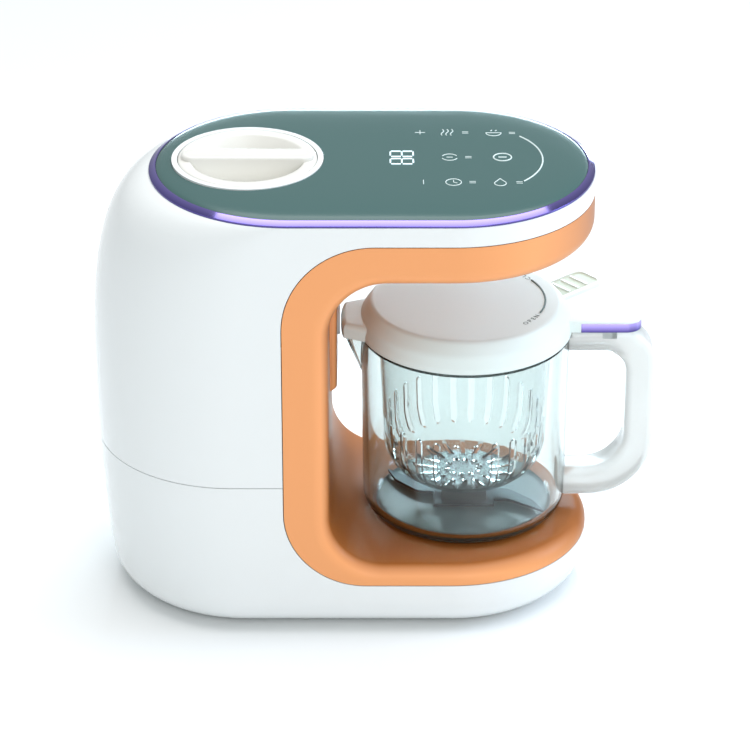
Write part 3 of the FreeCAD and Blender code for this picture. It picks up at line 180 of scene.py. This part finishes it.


# The inside tone is painted shade of the bay, and the lip tone is the orange itself.
orange_abs = orange_with_painted_bay_shade(inside="#AB652D", lip="#F7A96E")
print("liner finish:", orange_abs.name)

# %% [markdown]
# ## Panel and plated trims
# The touch panel is a sheet of tinted acrylic. A glass shader would show the boards under it, so it is an
# opaque teal with a satin surface. The trims are plastic with a thin lilac plating, and a painted reflection
# deepens them towards the lower edge. Generated coordinates run from 0 to 1 over a part, so the fade moves
# with the part.

# %% Panel and plated trims
# Tinted acrylic: a deep teal that mirrors the room only softly.
panel_acrylic = material("Tinted acrylic panel", "#3D5F5D", 0.27, Coat_Weight=0.08, Coat_Roughness=0.1)


def plated(node, dark, light):
    """Plated plastic: a coloured metal shine, with a painted reflection that darkens it towards the lower edge."""
    name = "Lilac plated plastic on " + node
    made = soft_edges(material(name, light, 0.1, Metallic=1.0), SMALL_EDGE)
    tree = made.node_tree
    place = add(tree, "ShaderNodeTexCoord")
    axes = add(tree, "ShaderNodeSeparateXYZ", [("Vector", place, "Generated")])
    painted_light_ramp(made, axes, "Z", dark, light)
    return made


# The dark end of each fade is a painted reflection along the trim's lower edge.
plated_ring = plated("trim_ring", dark="#4B4487", light="#9388D2")
plated_band = plated("lid_trim", dark="#3F3678", light="#B3A4EC")
print("top finishes:", [made.name for made in (panel_acrylic, plated_ring, plated_band)])

# %% [markdown]
# ## Lid, handle and tab
# The lid and the basket's tab meet hot steam, so they are polypropylene, which is softer and waxier than
# ABS. The jar's handle is a milky copolyester. Subsurface light would suit both, but it renders slowly,
# so the lid is a plain rough white, and the handle lets half of the light through.

# %% Lid, handle and tab
# Fine-grained polypropylene: a waxy white with a low, wide highlight.
lid_pp = soft_edges(material("White polypropylene", "#E9F5F3", 0.42, Specular_IOR_Level=0.3), LID_EDGE)
# The same plastic in a plainer white, for the frame of the tab.
tab_white = soft_edges(material("White tab polypropylene", "#E8EBE6", 0.4), SMALL_EDGE)
# Stone-coloured polypropylene: a dull grey beige in the tab's recess.
tab_pp = material("Stone polypropylene", "#B3B9A8", 0.45)
# Milky moulded copolyester: white and glossy, with a glow where light comes from behind.
milky = material("Milky copolyester", "#F3F5F3", 0.14, Transmission_Weight=0.5, IOR=1.45)
soft_edges(milky, LID_EDGE)
print("lid and handle finishes:", [made.name for made in (lid_pp, tab_white, tab_pp, milky)])

# %% [markdown]
# ## Clear jar, basket and tank
# The jar, the basket and the water tank are clear mouldings. A glass shader alone leaves their walls
# almost unseen on a pale stage. Real plastic takes a little light on the way through, so an absorbing
# volume fills the walls of the jar and the basket and greys them most where they are seen edge-on. The
# basket's IOR is set below that of the plastic, because at a higher value its many slots sparkle until
# their pattern is lost.

# %% Clear jar, basket and tank
WALL_TINT = "#9BABA9"
JAR_DENSITY = 42
BASKET_DENSITY = 28


def absorb(made, density):
    """A grey that grows with the thickness of plastic in the line of sight, by a density per metre."""
    tree = made.node_tree
    tint = add(tree, "ShaderNodeVolumeAbsorption", Color=srgb(WALL_TINT), Density=density)
    tree.links.new(tint.outputs["Volume"], tree.nodes["Material Output"].inputs["Volume"])


# Polished copolyester: clear walls with sharp highlights and grey edges.
clear = material("Clear copolyester", "#F5F9F8", 0.02, Transmission_Weight=1.0, IOR=1.45)
absorb(clear, JAR_DENSITY)
# The same plastic in the basket: bright, with the outlines of its slots.
basket_clear = material("Clear basket copolyester", "#F2F5F4", 0.04, Transmission_Weight=1.0, IOR=1.22)
absorb(basket_clear, BASKET_DENSITY)
# Painted shade: the jar's floor is a grey disc that lets little light through.
jar_floor_painted_shade = material("Grey jar floor", "#8BA5A6", 0.25, Transmission_Weight=0.15, IOR=1.45)
# Unpolished clear moulding: a faintly frosted tank.
tank_clear = material("Clear tank plastic", "#E9F2F2", 0.12, Transmission_Weight=0.9, IOR=1.45)
print("clear finishes:", [made.name for made in (clear, basket_clear, jar_floor_painted_shade, tank_clear)])

# %% [markdown]
# ## Metals, rubber and boards
# The blade, the shafts and the bearings are steel, and the motor, the boiler and the plates are zinc
# coated. The pump, the hubs, the pulleys and the couplings are filled nylon, the seals and the hoses are
# silicone, and the feet and the belt are rubber. Most of this is hidden by the shells. Maps of scratches
# and grease would suit a close view of the inside, but plain shaders tell the pieces apart.

# %% Metals, rubber and boards
# Ground steel painted a deep grey, a painted reflection of the shade inside the jar, with a low shine.
blade_steel_painted_dark = material("Dark ground blade steel", "#3A464A", 0.3, Metallic=0.7)
# Ground stainless steel: a bright metal with a slightly spread highlight.
steel = material("Ground stainless steel", "#D5DADB", 0.22, Metallic=1.0)
# Zinc coat: a duller, bluer grey than steel.
zinc = material("Zinc coated metal", "#AEB2B5", 0.38, Metallic=1.0)
# Glass-filled nylon: a dark grey with a dull surface.
nylon = soft_edges(material("Dark filled nylon", "#46504F", 0.45), SMALL_EDGE)
# Moulded rubber: almost black, with no clear highlight.
rubber = soft_edges(material("Black rubber", "#2A2A2B", 0.7), SMALL_EDGE)
# Moulded silicone: a pale grey into which light sinks a little.
silicone = soft_edges(material("Soft silicone", "#DADCDB", 0.55, Subsurface_Weight=0.15), INNER_EDGE)
# Lacquered circuit board: a dark green with a mild gloss.
laminate = material("Green board laminate", "#1C5A33", 0.4)
# Display housing: near black, with a mild gloss.
display = material("Display block", "#15181A", 0.3)
inner = (blade_steel_painted_dark, steel, zinc, nylon, rubber, silicone, laminate, display)
print("inner finishes:", [made.name for made in inner])

# %% [markdown]
# ## Dressing the CAD parts
# The CAD record names a material slot for every part. Most parts take the finish of their slot, and a few
# have one of their own. Flat shading shows the facets of curved walls, and smooth shading blurs real
# edges, so each mesh is welded and then split again wherever two faces meet at more than a set angle.

# %% Dress the parts
SMOOTH_BELOW = math.radians(24)
WELD_GAP = 0.002 * MM
BY_SLOT = {
    "shell_white": white_abs, "deck_white": frame_abs, "liner_orange": orange_abs,
    "panel_glass": panel_acrylic, "lid_white": lid_pp, "tab_beige": tab_white,
    "jar_clear": clear, "tank_clear": tank_clear,
    "steel": steel, "zinc": zinc, "hub_grey": nylon, "rubber_dark": rubber, "silicone": silicone,
    "board_green": laminate, "display_dark": display,
}
BY_PART = {
    "trim_ring": plated_ring, "lid_trim": plated_band, "basket": basket_clear, "blade": blade_steel_painted_dark,
    "jar_handle": milky, "tank_cap": cap_abs, "cap_grip": cap_abs, "cap_inlay": cap_abs,
}
slot_of = {part["node"]: part["material_slot"] for part in frame["record"]["subparts"]}
for name, part in nodes.items():
    part.data.materials.clear()
    part.data.materials.append(BY_PART.get(name) or BY_SLOT[slot_of[name]])
    part.data.polygons.foreach_set("use_smooth", [True] * len(part.data.polygons))
    weld = part.modifiers.new("weld", "WELD")
    weld.merge_threshold = WELD_GAP
    split = part.modifiers.new("edges", "EDGE_SPLIT")
    split.split_angle = SMOOTH_BELOW
print(len(nodes), "parts dressed")

# %% [markdown]
# ## Second finishes
# The tab's recess has a tone of its own, and the jar's floor takes a painted shade of grey, but neither is
# a part of its own. A painted mask would need an unwrapped mesh, so a second material goes on the faces that
# pass a test on where they are and which way they point.

# %% Second finishes
# A level face has a normal with at least this much Z. Heights are in millimetres.
FLAT = 0.9
RECESS_DROP = 0.4
FLOOR_HIGH = 4
TAB_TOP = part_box("basket")[1].z / MM
JAR_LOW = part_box("jar")[0].z / MM


def repaint(name, made, chosen):
    """A second finish on the faces that pass a test on their middle, in millimetres, and their normal."""
    part = nodes[name]
    part.data.materials.append(made)
    faces = [f for f in part.data.polygons if chosen((part.matrix_world @ f.center) / MM, f.normal)]
    for face in faces:
        face.material_index = 1
    print(len(faces), "faces of", name, "painted as", made.name)


repaint("basket_tab", tab_pp, lambda middle, way: way.z > FLAT and middle.z < TAB_TOP - RECESS_DROP)
# The grey of the jar's floor is painted shade.
repaint("jar", jar_floor_painted_shade, lambda middle, way: abs(way.z) > FLAT and middle.z < JAR_LOW + FLOOR_HIGH)

# %% [markdown]
# ## Height of the panel
# The panel is slightly crowned, so anything printed on it follows its height. A ray could be cast for
# every point, but the crown is known: it rises with the distance from the panel's edge. The list gives
# that distance in millimetres and the share of the rise that is reached there.

# %% Height of the panel
PANEL_LOW, PANEL_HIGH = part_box("top_panel")
CROWN = [(0, 0), (0.8, 0.2), (2.4, 0.38), (6, 0.58), (12, 0.76), (20, 0.89), (30, 0.97), (42, 1)]
CROWN_RISE = 2.7


def panel_z(x, y):
    """Height of the panel in millimetres at a point of its plan."""
    half = PANEL_HIGH.y / MM
    left = PANEL_LOW.x / MM + half
    right = PANEL_HIGH.x / MM - half
    inset = half - math.hypot(x - min(max(x, left), right), y)
    share = 1.0
    for (a, low), (b, high) in zip(CROWN, CROWN[1:]):
        if a <= inset <= b:
            share = low + (high - low) * (inset - a) / (b - a)
    return PANEL_HIGH.z / MM - CROWN_RISE * (1 - share)


print("panel", round(panel_z(0, 0), 1), "mm high at its middle")

# %% [markdown]
# ## Printing tools
# Symbols on such a panel are printed lines about half a millimetre wide. A picture on the panel would
# blur when seen close, so each line is a thin curve with a round section, half sunk in the glass. Letters
# are Blender's own text, with a little thickness.

# %% Printing tools
# Heights in millimetres.
PRINT_LIFT = 0.02
LETTER_THICK = 0.05
# Screen-printed ink: flat colour with no shine.
ink_white = material("White printed ink", "#DCEBEA", 0.5)
ink_grey = material("Grey printed ink", "#5E7371", 0.6)


def place_print(name, curve, ink, body, at=(0, 0, 0), turn=0):
    """Put a printed curve in the scene, at a point in millimetres, on the body that carries it."""
    curve.materials.append(ink)
    made = bpy.data.objects.new(name, curve)
    made.location = [c * MM for c in at]
    made.rotation_euler = (0, 0, math.radians(turn))
    scene.collection.objects.link(made)
    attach(made, body)


def line(name, points, width, ink, body):
    """A printed line through points in millimetres."""
    curve = bpy.data.curves.new(name, "CURVE")
    curve.dimensions = "3D"
    curve.bevel_depth = width / 2 * MM
    curve.bevel_resolution = 1
    path = curve.splines.new("POLY")
    path.points.add(len(points) - 1)
    for spot, p in zip(path.points, points):
        spot.co = [c * MM for c in p] + [1]
    place_print(name, curve, ink, body)


def letter(name, text, at, size, turn, ink, body):
    """A flat printed letter centred on a point in millimetres, turned about Z in degrees."""
    curve = bpy.data.curves.new(name, "FONT")
    curve.body = text
    curve.size = size * MM
    curve.align_x = "CENTER"
    curve.align_y = "CENTER"
    curve.extrude = LETTER_THICK * MM
    place_print(name, curve, ink, body, at, turn)


def on_arc(radius, angle, centre=(0, 0)):
    """The point of a circle at an angle in degrees."""
    turn = math.radians(angle)
    return centre[0] + radius * math.cos(turn), centre[1] + radius * math.sin(turn)


def arc(radius, start=0, end=360, count=25, centre=(0, 0)):
    """Points along an arc, angles in degrees."""
    step = (end - start) / (count - 1)
    return [on_arc(radius, start + step * i, centre) for i in range(count)]


def on_panel(name, strokes, at, size, width):
    """A symbol on the panel, made of strokes drawn in a box from -1 to 1."""
    for i, points in enumerate(strokes):
        spots = []
        for u, v in points:
            x = at[0] + u * size
            y = at[1] + v * size
            spots.append((x, y, panel_z(x, y) + PRINT_LIFT))
        line(f"{name}_{i}", spots, width, ink_white, "body")


print("a full circle is drawn with", len(arc(1)), "points")

# %% [markdown]
# ## Panel symbols
# The touch fields are marked with a plus, a minus, five programme symbols with short labels, a start key
# and an arc. Imported artwork could be used, but each symbol is only a few strokes, so it is drawn here
# in a box from -1 to 1 and then sized and placed in millimetres on the panel.

# %% Symbol shapes
STEAM_SWAY = 0.18
steam_heights = [k / 6 - 1 for k in range(13)]
SYMBOLS = {
    "plus": [[(-1, 0), (1, 0)], [(0, -1), (0, 1)]],
    "minus": [[(0, -1), (0, 1)]],
    "steam": [[(x + STEAM_SWAY * math.sin(3 * v), v) for v in steam_heights] for x in (-0.6, 0, 0.6)],
    "whisk": [arc(1, 20, 160), arc(1, 200, 340), [(-0.4, 0), (0.4, 0)]],
    "clock": [arc(1), [(0, 0.6), (0, 0), (0.5, -0.3)]],
    "bowl": [
        arc(1, 180, 360, count=15) + [(-1, 0)], [(-0.4, 0.5), (-0.2, 0.9)], [(0.2, 0.5), (0.4, 0.9)],
    ],
    "drop": [[(0, 1.1)] + arc(0.75, 40, -220, count=21, centre=(0, -0.3)) + [(0, 1.1)]],
    "start_key": [arc(1), [(-0.45, 0), (0.45, 0)]],
}
print(len(SYMBOLS), "symbols drawn")

# %% Panel symbols
# Half sizes, line widths and places on the panel's plan, in millimetres.
KEY_SIZE, KEY_LINE = 2.8, 0.5
PROGRAMME_SIZE, PROGRAMME_LINE = 4.2, 0.55
START_SIZE, START_LINE = 4.9, 0.8
LABEL_LONG, LABEL_LINE = 3.4, 0.45
LABEL_ROWS = (0.9, -0.9)
KEYS_AT = {"plus": (24.8, 34.7), "minus": (25.9, -31.2)}
PROGRAMMES_AT = {
    "steam": (39.7, 34.7), "whisk": (40.5, 1.4), "clock": (42.0, -31.2),
    "bowl": (65.3, 34.4), "drop": (67.0, -31.2),
}
LABELS_AT = {"a": (48, 34.7), "b": (49, 1.4), "c": (50.5, -31.2), "d": (73.8, 34.4), "e": (75.6, -31.2)}
START_AT = (69.2, 1.4)
for name, at in KEYS_AT.items():
    on_panel(name, SYMBOLS[name], at, KEY_SIZE, KEY_LINE)
for name, at in PROGRAMMES_AT.items():
    on_panel(name, SYMBOLS[name], at, PROGRAMME_SIZE, PROGRAMME_LINE)
for name, (x, y) in LABELS_AT.items():
    for row in LABEL_ROWS:
        on_panel(f"label_{name}_{row}", [[(0, 0), (LABEL_LONG, 0)]], (x, y + row), 1, LABEL_LINE)
on_panel("start_key", SYMBOLS["start_key"], START_AT, START_SIZE, START_LINE)
print(len(KEYS_AT) + len(PROGRAMMES_AT) + 1, "symbols and", len(LABELS_AT), "labels printed")

# %% Level arc
# Millimetres, and degrees to either side of X.
LEVEL_RADIUS = 44.5
LEVEL_END = 42
LEVEL_MIDDLE = (46.5, 0)
LEVEL_LINE = 0.9
level = arc(LEVEL_RADIUS, LEVEL_END, -LEVEL_END, count=33, centre=LEVEL_MIDDLE)
on_panel("level_arc", [level], (0, 0), 1, LEVEL_LINE)
print("level arc of", 2 * LEVEL_END, "degrees printed")

# %% [markdown]
# ## Display digits
# Two seven-segment digits shine through the panel, turned to be read from the end of the machine. A
# glowing picture could carry them, but lines stay sharp at any distance, so each segment is a line that
# glows a little. Its ends are drawn in towards its middle, which leaves the gaps between segments.

# %% Display digits
# Places, half sizes and line width in millimetres; a gap is a share of the segment's run.
DIGIT_X = 14.5
DIGIT_MIDDLES = (5.7, -4.1)
HALF_HIGH, HIGH_GAP = 6.2, 0.08
HALF_WIDE, WIDE_GAP = 3.5, 0.12
SEGMENT_LINE = 0.9
SEGMENTS = [((-1, 1), (1, 1)), ((-1, 0), (1, 0)), ((-1, -1), (1, -1)),
            ((-1, 0), (-1, 1)), ((1, 0), (1, 1)), ((-1, -1), (-1, 0)), ((1, -1), (1, 0))]
# Light-emitting segments: a cold white that stands out from the teal.
lit = material("Lit display segments", "#E9FBFF", 0.4, Emission_Color=srgb("#DFF6FF"), Emission_Strength=0.5)
for digit, middle in enumerate(DIGIT_MIDDLES):
    for k, (a, b) in enumerate(SEGMENTS):
        ends = []
        for (u, v), (p, q) in ((a, b), (b, a)):
            x = DIGIT_X + HALF_HIGH * (v + HIGH_GAP * (q - v))
            y = middle - HALF_WIDE * (u + WIDE_GAP * (p - u))
            ends.append((x, y, panel_z(x, y) + PRINT_LIFT))
        line(f"digit_{digit}_{k}", ends, SEGMENT_LINE, lit, "body")
print(len(DIGIT_MIDDLES) * len(SEGMENTS), "segments lit")

# %% [markdown]
# ## The lid's printing
# A grey arc with a word at each end shows which way the lid turns. Blender can run text along a curve,
# but placing each letter by its angle keeps the spacing exact and needs no second curve. The arc's centre
# is the joint about which the lid turns, so it is read from the frame.

# %% Lid printing
# Millimetres, and degrees about the axis of the lid.
lid_turn = next(joint for joint in frame["joints"] if joint["name"] == "lid_turn")
LID_X = lid_turn["pos_m"][0] / MM
LID_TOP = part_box("lid")[1].z / MM
LID_ARC = 44
LID_ARC_ENDS = (-24, 32)
LID_ARC_LINE, LID_ARC_SUNK = 1.1, 0.27
LETTER_SIZE, LETTER_SUNK = 4.0, 0.2
LETTER_STEP = 4.6
WORDS = {"CLOSE": 36, "OPEN": -43}
points = [(LID_X + x, y, LID_TOP - LID_ARC_SUNK) for x, y in arc(LID_ARC, *LID_ARC_ENDS)]
line("lid_arc", points, LID_ARC_LINE, ink_grey, "lid")
for text, start in WORDS.items():
    for i, sign in enumerate(text):
        angle = start + LETTER_STEP * i
        x, y = on_arc(LID_ARC, angle)
        at = (LID_X + x, y, LID_TOP - LETTER_SUNK)
        letter(f"lid_{text}_{i}", sign, at, LETTER_SIZE, angle + 90, ink_grey, "lid")
print(sum(len(text) for text in WORDS), "letters on the lid")

# %% [markdown]
# ## Pins of the mains inlet
# At the back, two round pins stand in the inlet's socket and end well inside it, so that nobody can touch
# them. They could be parts of the CAD model, but they are small and never move in the socket, so two
# plain cylinders are enough. The round wall is shaded smooth and the flat ends are not.

# %% Inlet pins
INLET_LOW, INLET_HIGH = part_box("power_inlet")
PIN_SPREAD = 8.4 * MM
PIN_RADIUS = 1.2 * MM
PIN_LONG = 9.5 * MM
PIN_SUNK = 4.0 * MM
LYING = (math.pi / 2, 0, 0)
inlet_middle = (INLET_LOW + INLET_HIGH) / 2
pin_y = INLET_HIGH.y - PIN_SUNK - PIN_LONG / 2
for side, name in ((-1, "inlet_pin_left"), (1, "inlet_pin_right")):
    at = (inlet_middle.x + side * PIN_SPREAD / 2, pin_y, inlet_middle.z)
    bpy.ops.mesh.primitive_cylinder_add(radius=PIN_RADIUS, depth=PIN_LONG, location=at, rotation=LYING)
    pin = bpy.context.object
    pin.name = name
    pin.data.materials.append(steel)
    pin.data.polygons.foreach_set("use_smooth", [len(face.vertices) == 4 for face in pin.data.polygons])
    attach(pin, "body")
print("two inlet pins, ending", round(PIN_SUNK / MM, 1), "mm inside the socket")

# %% [markdown]
# ## Studio
# A catalogue picture has a pale sweep and soft light from all round. One large lamp would do for a box,
# but the arm shades the lid and the orange liner warms it, so four lamps share the work: a broad one
# above, a fill from the front, a cool one on the right and a weak strip behind the bay that is hidden
# from the camera.

# %% Floor and world
FLOOR_SIZE = 40
SKY_STRENGTH = 0.52
bpy.ops.mesh.primitive_plane_add(size=FLOOR_SIZE)
floor = bpy.context.object
floor.name = "studio_floor"
# Satin board: a pale sweep with a soft shadow and a faint sheen.
floor.data.materials.append(material("Pale sweep", "#F6F8F8", 0.16))
world = bpy.data.worlds.new("studio")
scene.world = world
world.use_nodes = True
sky = world.node_tree.nodes["Background"]
sky.inputs["Color"].default_value = srgb("#F4F8FA")
sky.inputs["Strength"].default_value = SKY_STRENGTH
print("floor and sky set")


# %% Light
def softbox(name, at, aim, size, watts, colour="#FFFFFF"):
    """A rectangular soft light aimed at a point, in metres."""
    lamp = bpy.data.lights.new(name, "AREA")
    lamp.shape = "RECTANGLE"
    lamp.size, lamp.size_y = size
    lamp.energy = watts
    lamp.color = srgb(colour)[:3]
    made = bpy.data.objects.new(name, lamp)
    made.location = at
    made.rotation_euler = (Vector(aim) - Vector(at)).to_track_quat("-Z", "Y").to_euler()
    scene.collection.objects.link(made)
    return made


UNDER_ARM = (0.05, 0, 0.17)
softbox("top_light", at=(0.15, 0.25, 2.2), aim=(0, 0, 0), size=(2.4, 2.0), watts=42)
softbox("front_fill", at=(0.5, -1.8, 1.1), aim=(0, 0, 0.12), size=(0.9, 0.9), watts=11)
softbox("right_light", at=(1.5, 0.1, 0.82), aim=UNDER_ARM, size=(0.6, 1.0), watts=12, colour="#D2E6FF")
bay_strip = softbox(
    "bay_strip", at=(0.06, 0.32, 0.235), aim=UNDER_ARM, size=(0.45, 0.06), watts=1.2, colour="#CFE6F2")
bay_strip.visible_camera = False
print(len(bpy.data.lights), "lamps set")

# %% [markdown]
# ## Camera
# The machine is seen straight on to its long side and from a little above, with a long lens that keeps
# its edges almost parallel. The camera could be turned by angles; aiming it at a point on the machine's
# axis is easier to read. The Standard view transform shows each colour about as it was picked.

# %% Camera
SENSOR_WIDE = 36
LENS_LONG = 166.95
NEAREST = 0.05
CAMERA_AT = Vector((0, -1.7255, 1.0277))
CAMERA_AIM = Vector((0, 0, 0.12227))
lens = bpy.data.cameras.new("photo_view")
lens.sensor_width = SENSOR_WIDE
lens.lens = LENS_LONG
lens.clip_start = NEAREST
camera = bpy.data.objects.new("photo_view", lens)
camera.location = CAMERA_AT
camera.rotation_euler = (CAMERA_AIM - CAMERA_AT).to_track_quat("-Z", "Y").to_euler()
scene.collection.objects.link(camera)
scene.camera = camera
scene.view_settings.view_transform = "Standard"
print("camera", round((CAMERA_AIM - CAMERA_AT).length, 2), "m away")
